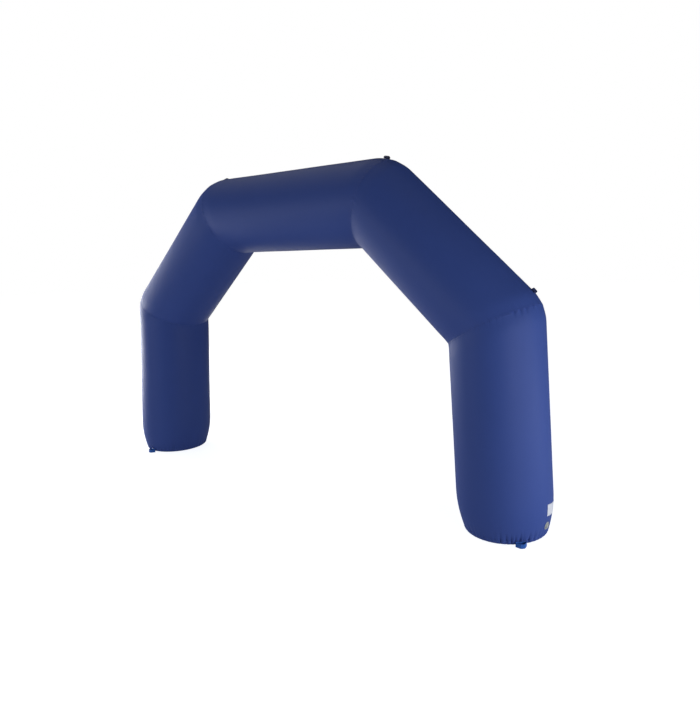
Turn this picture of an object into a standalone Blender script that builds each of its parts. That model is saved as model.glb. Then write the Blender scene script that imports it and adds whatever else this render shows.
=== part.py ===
"""Inflatable arch of coated cloth, for a start or finish line, built in Blender 4.5 at real size.

Five straight tubes are sewn end to end at mitre seams: a leg, a shoulder, the crest, a shoulder and a leg.
Each leg ends in a round base panel. Webbing loops for guy lines stand beside the mitre seams, and wider
loops for ground pegs stand out from the base seams. A blank patch and an air valve sit on the right leg.
Run it with: blender --background --python part.py

Metres, +Z up. X runs along the span and the front faces -Y. The origin is on the ground, midway between
the feet.
"""

import math
import random
from collections import namedtuple

import bmesh
import bpy
from mathutils import Vector

# The tube's middle line, from its foot up to the crest, on the +X side. The other side mirrors it.
TUBE_RADIUS = 0.45
FOOT_X = 2.545
SHOULDER_X, SHOULDER_Z = 2.45, 1.93
CREST_X, CREST_Z = 1.145, 3.115

# Touching pieces stand this far apart.
PIECE_GAP = 0.0003

# Cloth gathers into pleats along every seam: each pleat is a ridge and a valley, so two columns of points.
PLEATS = 48
PLEAT_UNEVENNESS = 0.28
SHALLOWEST_PLEAT = 0.25
SPACING_SEED = 7
MITRE_SEED, BASE_SEED = 0, 20

# A mitre seam pulls the cloth in all round, and most at the outside of the bend, which softens the corner.
MITRE_DRAW = 0.006
CORNER_DRAW = 0.022
MITRE_REACH = 0.16
MITRE_PLEAT = 0.006
MITRE_PLEAT_REACH = 0.12
MITRE_STATIONS = (0.0, 0.05, 0.16)

# The base seam pulls the leg in to a smaller ring, just off the ground.
BASE_SEAM_HEIGHT = 0.045
BASE_DRAW = 0.055
BASE_REACH = 0.34
BASE_PLEAT = 0.011
BASE_PLEAT_REACH = 0.17
BASE_STATIONS = (0.0, 0.05, 0.12, 0.22, 0.34)

# The base panel bulges under its seam and lies flat on the ground. Its pleats fade towards the middle.
BaseRing = namedtuple("BaseRing", "height inset pleat_share")
BASE_RINGS = (
    BaseRing(BASE_SEAM_HEIGHT - PIECE_GAP, 0.0, 1.0),
    BaseRing(0.022, 0.006, 0.6),
    BaseRing(0.006, 0.028, 0.2),
    BaseRing(0.0, 0.05, 0.0),
)

# Webbing loops: a band that leaves a wide sewn root, narrows to its tip and is open from edge to edge.
StrapLoop = namedtuple("StrapLoop", "root_width tip_width reach strap_width corner_radius")
STRAP_THICKNESS = 0.003
LOOP_CORNER_STEPS = 3
LOOP_STANDOFF = 0.0012
GUY_LOOP = StrapLoop(0.060, 0.038, 0.027, 0.042, 0.010)
PEG_LOOP = StrapLoop(0.104, 0.050, 0.056, 0.040, 0.010)

# A guy loop stands beside its mitre, on the tube that leads up to the crest or along it, and is open along the
# tube, so that a guy pulls it to the front or the back: how far its middle is from the seam, and how far round
# the tube it sits, in degrees from the outside of the bend to the back.
GuyLoopRow = namedtuple("GuyLoopRow", "name corner towards setback turn")
GUY_LOOPS = (
    GuyLoopRow("guy_loop_shoulder_left", corner=1, towards=2, setback=0.132, turn=10.0),
    GuyLoopRow("guy_loop_crest_left", corner=2, towards=3, setback=0.072, turn=0.0),
    GuyLoopRow("guy_loop_crest_right", corner=3, towards=2, setback=0.076, turn=0.0),
    GuyLoopRow("guy_loop_shoulder_right", corner=4, towards=3, setback=0.132, turn=10.0),
)

# Peg loops stand opposite each other at each base. A bearing runs from the front, 0, through +X, 90.
PEG_LOOP_BEARINGS = {"left": (2.0, 182.0), "right": (45.0, 225.0)}

# The blank patch, level on the cloth of the right leg but for a small tilt.
PATCH_BEARINGS = (84.0, 117.0)
PATCH_BOTTOM, PATCH_TOP = 0.225, 0.335
PATCH_FALL = 0.035
PATCH_THICKNESS = 0.0012
PATCH_STANDOFF = 0.0008
PATCH_COLUMNS, PATCH_ROWS = 12, 4

# The air valve, low on the right leg: its profile runs from the rim of the flange to the middle of the plug.
VALVE_BEARING = 86.5
VALVE_HEIGHT = 0.13
VALVE_SIDES = 32
VALVE_STANDOFF = 0.0015
ProfilePoint = namedtuple("ProfilePoint", "radius height")
VALVE_PROFILE = (
    ProfilePoint(0.037, 0.0),
    ProfilePoint(0.037, 0.0025),
    ProfilePoint(0.034, 0.004),
    ProfilePoint(0.026, 0.0045),
    ProfilePoint(0.0245, 0.011),
    ProfilePoint(0.0215, 0.0125),
    ProfilePoint(0.0195, 0.008),
    ProfilePoint(0.012, 0.0075),
    ProfilePoint(0.0105, 0.010),
)

# Edges sharper than this stay crisp when the rest of a piece is shaded smooth.
SHARP_EDGE_DEGREES = 50

UP = Vector((0, 0, 1))
DEPTH = Vector((0, 1, 0))

# One end of a tube: a point of the seam's plane, the plane's normal, and how the seam shapes the cloth.
Seam = namedtuple("Seam", "point normal draw corner_draw reach stations pleat pleat_reach pleats")
# A place on the cloth: the point, the way out of the cloth and the way along it.
Place = namedtuple("Place", "point out along")


def column_angles():
    """Angles round a tube, from the outside of the bend towards +Y, a little uneven, as gathered cloth is."""
    draw = random.Random(SPACING_SEED)
    step = math.tau / (2 * PLEATS)
    return [
        step * (k + PLEAT_UNEVENNESS * draw.uniform(-1, 1)) for k in range(2 * PLEATS)
    ]


ANGLES = column_angles()


def pleat_depths(seed):
    """How deep each column lies, as a share of the seam's pleat: ridges between valleys of uneven depth."""
    draw = random.Random(seed)
    return [
        draw.uniform(SHALLOWEST_PLEAT, 1.0) if k % 2 else 0.0 for k in range(2 * PLEATS)
    ]


def middle_line():
    """The corners of the tube's middle line, from the left foot to the right."""
    right = [(CREST_X, CREST_Z), (SHOULDER_X, SHOULDER_Z), (FOOT_X, 0.0)]
    left = [(-x, z) for x, z in reversed(right)]
    return [Vector((x, 0, z)) for x, z in left + right]


def direction(start, end):
    return (end - start).normalized()


def outward(along):
    """The way out of the bend, square to a tube that runs along the arch from left to right."""
    return DEPTH.cross(along) * -1


def mitre(line, corner):
    """The seam where two tubes meet at a corner of the middle line."""
    before = direction(line[corner - 1], line[corner])
    after = direction(line[corner], line[corner + 1])
    return Seam(
        line[corner],
        (before + after).normalized(),
        MITRE_DRAW,
        CORNER_DRAW,
        MITRE_REACH,
        MITRE_STATIONS,
        MITRE_PLEAT,
        MITRE_PLEAT_REACH,
        pleat_depths(MITRE_SEED + corner),
    )


def base(line, corner):
    """The seam that joins a leg to its base panel."""
    foot = line[corner]
    shoulder = line[1] if corner == 0 else line[-2]
    climb = direction(foot, shoulder)
    return Seam(
        foot + climb * (BASE_SEAM_HEIGHT / climb.z),
        UP if corner == 0 else -UP,
        BASE_DRAW,
        0.0,
        BASE_REACH,
        BASE_STATIONS,
        BASE_PLEAT,
        BASE_PLEAT_REACH,
        pleat_depths(BASE_SEED + corner),
    )


def falling(distance, reach):
    """1 at a seam, easing to 0 where its pull ends."""
    return max(0.0, 1.0 - distance / reach) ** 2


def tube_radius(seam, angle, distance, pleat_share):
    """The tube's radius at this distance from a seam."""
    corner = max(0.0, math.cos(angle)) ** 2
    drawn = (seam.draw + seam.corner_draw * corner) * falling(distance, seam.reach)
    folded = seam.pleat * pleat_share * falling(distance, seam.pleat_reach)
    return TUBE_RADIUS - drawn - folded


def on_tube(seam, along, angle, distance, pleat_share):
    """The point of the tube at this distance from a seam, along being the way that leads away from it."""
    left_to_right = along if along.dot(seam.normal) > 0 else -along
    round_way = outward(left_to_right) * math.cos(angle) + DEPTH * math.sin(angle)
    at_seam = round_way * tube_radius(seam, angle, 0.0, pleat_share)
    start = -at_seam.dot(seam.normal) / along.dot(seam.normal)
    spoke = round_way * tube_radius(seam, angle, distance, pleat_share)
    return seam.point + spoke + along * (start + distance)


def rings_from(seam, along, gap):
    """The rings of points that lead away from a seam."""
    return [
        [
            on_tube(seam, along, angle, distance + gap, share)
            for angle, share in zip(ANGLES, seam.pleats)
        ]
        for distance in seam.stations
    ]


def new_object(name, mesh, material):
    made = bpy.data.meshes.new(name)
    bmesh.ops.recalc_face_normals(mesh, faces=mesh.faces)
    mesh.to_mesh(made)
    mesh.free()
    made.materials.append(material)
    made.shade_smooth()
    made.set_sharp_from_angle(angle=math.radians(SHARP_EDGE_DEGREES))
    thing = bpy.data.objects.new(name, made)
    bpy.context.scene.collection.objects.link(thing)
    return thing


def closed_rings(rings):
    """A closed solid through rings of the same count of points, with a flat face at each end."""
    mesh = bmesh.new()
    made = [[mesh.verts.new(point) for point in ring] for ring in rings]
    count = len(rings[0])
    for lower, upper in zip(made, made[1:]):
        for k in range(count):
            after = (k + 1) % count
            mesh.faces.new((lower[k], lower[after], upper[after], upper[k]))
    mesh.faces.new(made[0])
    mesh.faces.new(made[-1])
    return mesh


def tube(name, first, last, material):
    """One tube of the arch, from its first seam to its last."""
    along = direction(first.point, last.point)
    near = rings_from(first, along, PIECE_GAP / 2)
    far = rings_from(last, -along, PIECE_GAP / 2)
    return new_object(name, closed_rings(near + far[::-1]), material)


def base_panel(name, seam, material):
    """The round panel that closes a leg, flat where it meets the ground."""
    rings = []
    for ring in BASE_RINGS:
        points = []
        for angle, share in zip(ANGLES, seam.pleats):
            radius = tube_radius(seam, angle, 0.0, share * ring.pleat_share) - ring.inset
            side = math.copysign(1.0, seam.point.x)
            points.append(
                Vector(
                    (
                        seam.point.x + side * radius * math.cos(angle),
                        radius * math.sin(angle),
                        ring.height,
                    )
                )
            )
        rings.append(points)
    return new_object(name, closed_rings(rings), material)


def loop_outline(loop, inset):
    """The band seen along its open way: the root at the bottom, the tip at the top, with round corners."""
    round_by = loop.corner_radius
    root = loop.root_width / 2 - round_by
    tip = loop.tip_width / 2 - round_by
    top = loop.reach - round_by
    middles = ((-root, round_by), (root, round_by), (tip, top), (-tip, top))
    bearings = []
    for (x, y), (next_x, next_y) in zip(middles, middles[1:] + middles[:1]):
        bearings.append(math.atan2(next_y - y, next_x - x) - math.pi / 2)
    outline = []
    for k, (x, y) in enumerate(middles):
        start = bearings[k - 1]
        turn = (bearings[k] - start) % math.tau
        for step in range(LOOP_CORNER_STEPS + 1):
            at = start + turn * step / LOOP_CORNER_STEPS
            reach = round_by - inset
            outline.append((x + reach * math.cos(at), y + reach * math.sin(at)))
    return outline


def strap_loop(name, place, loop, material):
    """A loop of webbing whose root lies along the cloth and whose tip stands out of it."""
    across = place.out.cross(place.along)
    mesh = bmesh.new()
    sides = []
    for side in (-loop.strap_width / 2, loop.strap_width / 2):
        for inset in (0.0, STRAP_THICKNESS):
            sides.append(
                [
                    mesh.verts.new(place.point + place.along * a + place.out * h + across * side)
                    for a, h in loop_outline(loop, inset)
                ]
            )
    outer_near, inner_near, outer_far, inner_far = sides
    count = len(outer_near)
    section = (outer_near, outer_far, inner_far, inner_near)
    for first, second in zip(section, section[1:] + section[:1]):
        for k in range(count):
            after = (k + 1) % count
            mesh.faces.new((first[k], first[after], second[after], second[k]))
    return new_object(name, mesh, material)


def guy_loop_place(seam, along, row):
    """Where a guy loop stands: near the outside of the bend, with its root round the tube."""
    half = GUY_LOOP.strap_width / 2
    angle = math.radians(row.turn)
    near, middle, far = (
        on_tube(seam, along, angle, row.setback + shift, 0.0) for shift in (-half, 0.0, half)
    )
    slope = direction(near, far)
    left_to_right = slope if slope.dot(seam.normal) > 0 else -slope
    out = outward(left_to_right) * math.cos(angle) + DEPTH * math.sin(angle)
    chord_middle = (near + far) / 2
    lift = max((middle - chord_middle).dot(out), 0.0) + LOOP_STANDOFF
    return Place(chord_middle + out * lift, out, out.cross(slope))


def peg_loop_place(seam, bearing):
    """Where a peg loop stands: on the ground, with its root along the base seam."""
    turn = math.radians(bearing)
    out = Vector((math.sin(turn), -math.cos(turn), 0))
    lift = LOOP_STANDOFF + PEG_LOOP.strap_width / 2
    middle = Vector((seam.point.x, 0, lift))
    return Place(middle + out * (TUBE_RADIUS - BASE_DRAW + LOOP_STANDOFF), out, out.cross(UP))


def leg_surface(seam, bearing, height):
    """A point of the right leg's cloth, by its bearing from the front and its height."""
    climb = direction(Vector((FOOT_X, 0, 0)), Vector((SHOULDER_X, 0, SHOULDER_Z)))
    distance = (height - BASE_SEAM_HEIGHT) / climb.z
    return on_tube(seam, climb, math.radians(bearing - 90), distance, 0.0)


def leg_place(seam, bearing, height, rise=0.01, turn=1.0):
    """A point of the right leg's cloth, with the way out of it and the way up it, from points close by."""
    below, above = (leg_surface(seam, bearing, height + step) for step in (-rise, rise))
    before, after = (leg_surface(seam, bearing + step, height) for step in (-turn, turn))
    up_cloth = direction(below, above)
    out = direction(before, after).cross(up_cloth).normalized()
    return Place(leg_surface(seam, bearing, height), out, up_cloth)


def patch(name, seam, material):
    """A thin rectangle of cloth that lies on the leg."""
    mesh = bmesh.new()
    first, last = PATCH_BEARINGS
    layers = []
    for lift in (PATCH_STANDOFF, PATCH_STANDOFF + PATCH_THICKNESS):
        layer = []
        for row in range(PATCH_ROWS + 1):
            for column in range(PATCH_COLUMNS + 1):
                across = column / PATCH_COLUMNS
                level = PATCH_BOTTOM + (PATCH_TOP - PATCH_BOTTOM) * row / PATCH_ROWS
                place = leg_place(seam, first + (last - first) * across, level - PATCH_FALL * across)
                layer.append(mesh.verts.new(place.point + place.out * lift))
        layers.append(layer)
    width = PATCH_COLUMNS + 1
    for layer in layers:
        for row in range(PATCH_ROWS):
            for column in range(PATCH_COLUMNS):
                k = row * width + column
                mesh.faces.new([layer[i] for i in (k, k + 1, k + 1 + width, k + width)])
    rim = (
        list(range(width))
        + [row * width + width - 1 for row in range(1, PATCH_ROWS + 1)]
        + [PATCH_ROWS * width + column for column in range(width - 2, -1, -1)]
        + [row * width for row in range(PATCH_ROWS - 1, 0, -1)]
    )
    lower, upper = layers
    for k, after in zip(rim, rim[1:] + rim[:1]):
        mesh.faces.new((lower[k], lower[after], upper[after], upper[k]))
    return new_object(name, mesh, material)


def valve(name, seam, material):
    """The valve's flange, collar and shut plug, turned about the way out of the cloth."""
    place = leg_place(seam, VALVE_BEARING, VALVE_HEIGHT)
    across = place.out.cross(place.along)
    rings = []
    for radius, height in VALVE_PROFILE:
        middle = place.point + place.out * (VALVE_STANDOFF + height)
        ring = []
        for k in range(VALVE_SIDES):
            turn = math.tau * k / VALVE_SIDES
            ring.append(middle + place.along * radius * math.cos(turn) + across * radius * math.sin(turn))
        rings.append(ring)
    return new_object(name, closed_rings(rings), material)


def finish(name, colour, roughness):
    material = bpy.data.materials.new(name)
    material.use_nodes = True
    shader = material.node_tree.nodes["Principled BSDF"]
    shader.inputs["Base Color"].default_value = (*colour, 1.0)
    shader.inputs["Roughness"].default_value = roughness
    shader.inputs["Metallic"].default_value = 0.0
    return material


def clear_scene():
    for thing in list(bpy.data.objects):
        bpy.data.objects.remove(thing)


def build():
    clear_scene()
    cloth = finish("coated_cloth", (0.02, 0.035, 0.15), 0.42)
    webbing = finish("webbing", (0.01, 0.03, 0.16), 0.75)
    white = finish("patch_cloth", (0.78, 0.8, 0.85), 0.6)
    grey = finish("valve_plastic", (0.42, 0.45, 0.46), 0.4)

    line = middle_line()
    seams = [base(line, 0)] + [mitre(line, corner) for corner in range(1, 5)] + [base(line, 5)]
    names = ("leg_left", "shoulder_left", "crest", "shoulder_right", "leg_right")
    for name, first, last in zip(names, seams, seams[1:]):
        tube(name, first, last, cloth)
    base_panel("base_panel_left", seams[0], cloth)
    base_panel("base_panel_right", seams[5], cloth)

    for row in GUY_LOOPS:
        along = direction(line[row.corner], line[row.towards])
        place = guy_loop_place(seams[row.corner], along, row)
        strap_loop(row.name, place, GUY_LOOP, webbing)

    for side, seam in (("left", seams[0]), ("right", seams[5])):
        for where, bearing in zip(("front", "back"), PEG_LOOP_BEARINGS[side]):
            strap_loop(f"peg_loop_{side}_{where}", peg_loop_place(seam, bearing), PEG_LOOP, webbing)

    patch("blank_patch", seams[5], white)
    valve("air_valve", seams[5], grey)


build()
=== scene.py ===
# %% [markdown]
# # An inflatable arch, sewn from coated cloth
# The arch is one long tube of dark blue coated cloth, bent at four mitre seams and held round by air.
# This lesson loads the measured solids as a frame, and then dresses them: fine cloth skins with gathered
# seams, sewing thread, webbing loops, a blank patch and an air valve. Lengths are in metres and +Z is up.

import math
import random
from collections import namedtuple

import bmesh
import bpy
import numpy as np
from mathutils import Matrix, Vector
from mathutils.bvhtree import BVHTree


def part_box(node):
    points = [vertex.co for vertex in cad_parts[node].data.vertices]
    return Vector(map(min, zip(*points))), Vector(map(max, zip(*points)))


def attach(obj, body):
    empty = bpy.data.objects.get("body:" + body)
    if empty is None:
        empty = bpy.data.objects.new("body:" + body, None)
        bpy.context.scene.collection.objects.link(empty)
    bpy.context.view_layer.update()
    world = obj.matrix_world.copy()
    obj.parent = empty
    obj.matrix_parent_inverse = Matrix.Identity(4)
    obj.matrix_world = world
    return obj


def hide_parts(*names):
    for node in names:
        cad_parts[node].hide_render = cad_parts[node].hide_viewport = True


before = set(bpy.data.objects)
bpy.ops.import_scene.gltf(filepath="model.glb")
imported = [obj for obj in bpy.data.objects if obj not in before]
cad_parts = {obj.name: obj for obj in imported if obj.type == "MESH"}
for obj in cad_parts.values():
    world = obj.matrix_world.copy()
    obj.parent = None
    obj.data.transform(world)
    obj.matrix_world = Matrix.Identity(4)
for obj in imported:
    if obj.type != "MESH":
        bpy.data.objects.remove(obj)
bpy.context.view_layer.update()
scene = bpy.context.scene

# %% [markdown]
# ## The sizes that drive everything
# The solids follow a bent middle line and one tube radius. The same few sizes are repeated here, because a
# fine skin has to sit on its solid. The radius and the crest's height are read from the frame itself.

# %% Driving sizes
crest_low, crest_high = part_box("crest")
TUBE_RADIUS = (crest_high.y - crest_low.y) / 2
CREST_X, CREST_Z = 1.145, (crest_low.z + crest_high.z) / 2
SHOULDER_X, SHOULDER_Z = 2.45, 1.93
FOOT_X = 2.545
HALF_GAP = 0.00015

PLEATS = 48
PLEAT_UNEVENNESS = 0.28
SHALLOWEST_PLEAT = 0.25
SPACING_SEED, BASE_SEED = 7, 20
COLUMNS_PER_FOLD = 6

BASE_SEAM_HEIGHT = 0.045
UP = np.array((0.0, 0.0, 1.0))
DEPTH = np.array((0.0, 1.0, 0.0))
print("tube radius", round(TUBE_RADIUS, 4), "crest height", round(CREST_Z, 4))

# %% [markdown]
# ## Camera
# The photo was taken from the right, a little above the crest's underside. The place, the turn and the lens
# were worked out from the arch's own straight edges. The picture is a crop, so the lens axis isn't at its
# middle: a small shift does that.

# %% Camera
PICTURE_WIDTH, PICTURE_HEIGHT = 700, 701
CAMERA_PLACE = Vector((5.054, -5.205, 2.514))
CAMERA_TURN, CAMERA_PITCH, CAMERA_ROLL = 0.6269, -0.1012, -0.0185
FOCAL_PIXELS = 625.97
AXIS_PIXEL = (394.04, 325.76)
SENSOR = 36.0


def add_camera():
    """A camera whose axes come from its turn, pitch and roll."""
    ahead = Vector(
        (
            -math.sin(CAMERA_TURN) * math.cos(CAMERA_PITCH),
            math.cos(CAMERA_TURN) * math.cos(CAMERA_PITCH),
            math.sin(CAMERA_PITCH),
        )
    )
    level = Vector((math.cos(CAMERA_TURN), math.sin(CAMERA_TURN), 0))
    upright = level.cross(ahead)
    right = level * math.cos(CAMERA_ROLL) + upright * math.sin(CAMERA_ROLL)
    top = upright * math.cos(CAMERA_ROLL) - level * math.sin(CAMERA_ROLL)
    data = bpy.data.cameras.new("camera")
    data.sensor_width = SENSOR
    data.lens = FOCAL_PIXELS * SENSOR / PICTURE_HEIGHT
    data.shift_x = (PICTURE_WIDTH / 2 - AXIS_PIXEL[0]) / PICTURE_HEIGHT
    data.shift_y = (AXIS_PIXEL[1] - PICTURE_HEIGHT / 2) / PICTURE_HEIGHT
    camera = bpy.data.objects.new("camera", data)
    scene.collection.objects.link(camera)
    turned = Matrix((right, top, -ahead)).transposed().to_4x4()
    camera.matrix_world = Matrix.Translation(CAMERA_PLACE) @ turned
    return camera


scene.camera = add_camera()
print("lens", round(scene.camera.data.lens, 2), "mm")

# %% [markdown]
# ## Floor, sky and lights
# The arch stands on a plain white ground under soft light. To the camera the floor glows nearly white, so that
# it meets the white behind it without a line, and hardly any shadow shows. As light it glows far less, so
# that the cloth keeps its dark tones. Most lights stand low, because the cloth is darker above than at its
# sides. Those on the left make the long pale edges of the left leg, and those on the right the brighter blue.

# %% Floor and sky
FLOOR_SIZE = 120.0
FLOOR_TONE, FLOOR_ROUGHNESS, FLOOR_SHINE = 0.50, 0.9, 0.1
# Near the arch the glow is a little dimmer and bluish: a painted faint shade round the arch, which the lights'
# real shadows deepen. Far off it is full white.
GLOW_NEAR_PAINTED_SHADE, GLOW_FAR = (0.90, 0.92, 0.96, 1), (1, 1, 1, 1)
FLOOR_LIGHT = (0.125, 0.125, 0.130, 1)
GLOW_NEAR_RADIUS, GLOW_FAR_RADIUS = 5.0, 16.0
SKY_TONE = (0.01, 0.01, 0.012)


def add_floor():
    """A pale sheet of ground that reads as white to the camera, with a faint painted bluish shade near the arch,
    and as grey to the cloth's reflections.
    """
    half = FLOOR_SIZE / 2
    mesh = bpy.data.meshes.new("floor")
    corners = [(-half, -half, 0), (half, -half, 0), (half, half, 0), (-half, half, 0)]
    mesh.from_pydata(corners, [], [(0, 1, 2, 3)])
    floor = bpy.data.objects.new("floor", mesh)
    scene.collection.objects.link(floor)
    material = bpy.data.materials.new("floor")
    material.use_nodes = True
    nodes, links = material.node_tree.nodes, material.node_tree.links
    shader = nodes["Principled BSDF"]
    shader.inputs["Base Color"].default_value = (FLOOR_TONE, FLOOR_TONE, FLOOR_TONE, 1)
    shader.inputs["Roughness"].default_value = FLOOR_ROUGHNESS
    shader.inputs["Specular IOR Level"].default_value = FLOOR_SHINE
    place, length = nodes.new("ShaderNodeTexCoord"), nodes.new("ShaderNodeVectorMath")
    length.operation = "LENGTH"
    links.new(place.outputs["Object"], length.inputs[0])
    share = nodes.new("ShaderNodeMapRange")
    share.inputs["From Min"].default_value = GLOW_NEAR_RADIUS
    share.inputs["From Max"].default_value = GLOW_FAR_RADIUS
    links.new(length.outputs["Value"], share.inputs["Value"])
    seen, glow = nodes.new("ShaderNodeMix"), nodes.new("ShaderNodeMix")
    for mix in (seen, glow):
        mix.data_type = "RGBA"
    links.new(share.outputs["Result"], seen.inputs["Factor"])
    seen.inputs["A"].default_value, seen.inputs["B"].default_value = GLOW_NEAR_PAINTED_SHADE, GLOW_FAR
    path = nodes.new("ShaderNodeLightPath")
    links.new(path.outputs["Is Camera Ray"], glow.inputs["Factor"])
    glow.inputs["A"].default_value = FLOOR_LIGHT
    links.new(seen.outputs["Result"], glow.inputs["B"])
    links.new(glow.outputs["Result"], shader.inputs["Emission Color"])
    shader.inputs["Emission Strength"].default_value = 1.0
    mesh.materials.append(material)
    return floor


def set_sky():
    """White to the camera, and a dim even grey as light."""
    world = bpy.data.worlds.new("sky")
    scene.world = world
    world.use_nodes = True
    nodes, links = world.node_tree.nodes, world.node_tree.links
    for node in list(nodes):
        nodes.remove(node)
    path = nodes.new("ShaderNodeLightPath")
    dim, white = nodes.new("ShaderNodeBackground"), nodes.new("ShaderNodeBackground")
    dim.inputs["Color"].default_value = (*SKY_TONE, 1)
    white.inputs["Color"].default_value = (1, 1, 1, 1)
    mix, out = nodes.new("ShaderNodeMixShader"), nodes.new("ShaderNodeOutputWorld")
    links.new(path.outputs["Is Camera Ray"], mix.inputs["Fac"])
    links.new(dim.outputs[0], mix.inputs[1])
    links.new(white.outputs[0], mix.inputs[2])
    links.new(mix.outputs[0], out.inputs["Surface"])


add_floor()
set_sky()
scene.view_settings.view_transform = "Standard"

# %% Lights
SoftLight = namedtuple("SoftLight", "name place aim width height watts")
SOFT_LIGHTS = (
    SoftLight("light_right", (12.95, 0.0, 2.7), (0.0, 0.0, 1.6), 7.5, 4.1, 321.0),
    SoftLight("light_right_front", (7.6, -3.0, 1.2), (2.5, 0.0, 1.2), 3.0, 2.4, 103.0),
    SoftLight("light_right_low", (5.3, 0.8, 0.8), (2.5, 0.0, 0.8), 2.0, 1.5, 20.0),
    SoftLight("light_left", (-12.95, 0.0, 2.7), (0.0, 0.0, 1.6), 7.5, 4.1, 350.0),
    SoftLight("light_left_near", (-9.0, 0.5, 0.95), (-2.5, 0.0, 1.1), 5.0, 1.8, 430.0),
    SoftLight("light_left_back", (-11.2, 6.5, 2.7), (0.0, 0.0, 1.6), 7.5, 4.1, 185.0),
    SoftLight("light_left_low", (-4.8, 2.8, 0.1), (-1.2, 0.0, 3.1), 2.5, 1.5, 22.0),
    SoftLight("light_left_above", (-6.9, 0.0, 12.6), (0.0, 0.0, 1.6), 15.0, 8.0, 334.0),
    SoftLight("light_front", (-6.5, -11.2, 2.7), (0.0, 0.0, 1.6), 7.5, 4.1, 367.0),
    SoftLight("light_above", (0.2, 0.0, 14.6), (0.0, 0.0, 1.6), 9.5, 9.5, 117.0),
)


def add_light(row):
    """A wide soft light that the camera doesn't see."""
    data = bpy.data.lights.new(row.name, "AREA")
    data.shape = "RECTANGLE"
    data.size, data.size_y = row.width, row.height
    data.energy = row.watts
    light = bpy.data.objects.new(row.name, data)
    light.visible_camera = False
    scene.collection.objects.link(light)
    light.location = row.place
    light.rotation_euler = (Vector(row.aim) - Vector(row.place)).to_track_quat("-Z", "Y").to_euler()


for row in SOFT_LIGHTS:
    add_light(row)
print(len(SOFT_LIGHTS), "soft lights")

# %% [markdown]
# ## Shader groups for cloth
# Every cloth here is woven, so one group makes the weave's relief for all of them. It reads a UV map whose
# unit is the metre, so that a pitch is a real thread spacing. A second group gives a slow change of tone, as
# dye and dust do, and a third the shallow crinkles of a coating. They put out only values and colours.

# %% Helpers for node trees


def socket(tree, name, kind, value=None, out=False):
    """Adds a named socket to a node group."""
    made = tree.interface.new_socket(name, in_out="OUTPUT" if out else "INPUT", socket_type=kind)
    if value is not None:
        made.default_value = value
    return made


def maths(tree, operation, *values, clamp=False):
    """A Math node: each value is a number or another node's output."""
    node = tree.nodes.new("ShaderNodeMath")
    node.operation = operation
    node.use_clamp = clamp
    for k, value in enumerate(values):
        if isinstance(value, (int, float)):
            node.inputs[k].default_value = value
        else:
            tree.links.new(value, node.inputs[k])
    return node.outputs[0]


# %% The weave group


def weave_group():
    """Plain weave: warp and weft pass over each other in turn, so the relief is a board of low humps."""
    tree = bpy.data.node_groups.new("weave", "ShaderNodeTree")
    socket(tree, "Vector", "NodeSocketVector")
    socket(tree, "Thread Pitch", "NodeSocketFloat", 0.001)
    socket(tree, "Weft Share", "NodeSocketFloat", 1.0)
    socket(tree, "Height", "NodeSocketFloat", out=True)
    nodes, links = tree.nodes, tree.links
    given, put = nodes.new("NodeGroupInput"), nodes.new("NodeGroupOutput")
    split = nodes.new("ShaderNodeSeparateXYZ")
    links.new(given.outputs["Vector"], split.inputs[0])
    turns = maths(tree, "DIVIDE", math.pi, given.outputs["Thread Pitch"])
    warp = maths(tree, "COSINE", maths(tree, "MULTIPLY", split.outputs["X"], turns))
    weft_turns = maths(tree, "MULTIPLY", turns, given.outputs["Weft Share"])
    weft = maths(tree, "COSINE", maths(tree, "MULTIPLY", split.outputs["Y"], weft_turns))
    hump = maths(tree, "ABSOLUTE", maths(tree, "MULTIPLY", warp, weft))
    links.new(hump, put.inputs["Height"])
    return tree


WEAVE = weave_group()

# %% The tone and crinkle groups


def tone_group():
    """Slow light and dark patches over a colour."""
    tree = bpy.data.node_groups.new("tone", "ShaderNodeTree")
    socket(tree, "Vector", "NodeSocketVector")
    socket(tree, "Dark Color", "NodeSocketColor")
    socket(tree, "Light Color", "NodeSocketColor")
    socket(tree, "Patches per Metre", "NodeSocketFloat", 1.0)
    socket(tree, "Color", "NodeSocketColor", out=True)
    socket(tree, "Patch", "NodeSocketFloat", out=True)
    nodes, links = tree.nodes, tree.links
    given, put = nodes.new("NodeGroupInput"), nodes.new("NodeGroupOutput")
    noise = nodes.new("ShaderNodeTexNoise")
    noise.inputs["Detail"].default_value = 4.0
    noise.inputs["Roughness"].default_value = 0.55
    links.new(given.outputs["Vector"], noise.inputs["Vector"])
    links.new(given.outputs["Patches per Metre"], noise.inputs["Scale"])
    mix = nodes.new("ShaderNodeMix")
    mix.data_type = "RGBA"
    links.new(noise.outputs["Fac"], mix.inputs["Factor"])
    links.new(given.outputs["Dark Color"], mix.inputs["A"])
    links.new(given.outputs["Light Color"], mix.inputs["B"])
    links.new(mix.outputs["Result"], put.inputs["Color"])
    links.new(noise.outputs["Fac"], put.inputs["Patch"])
    return tree


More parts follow.
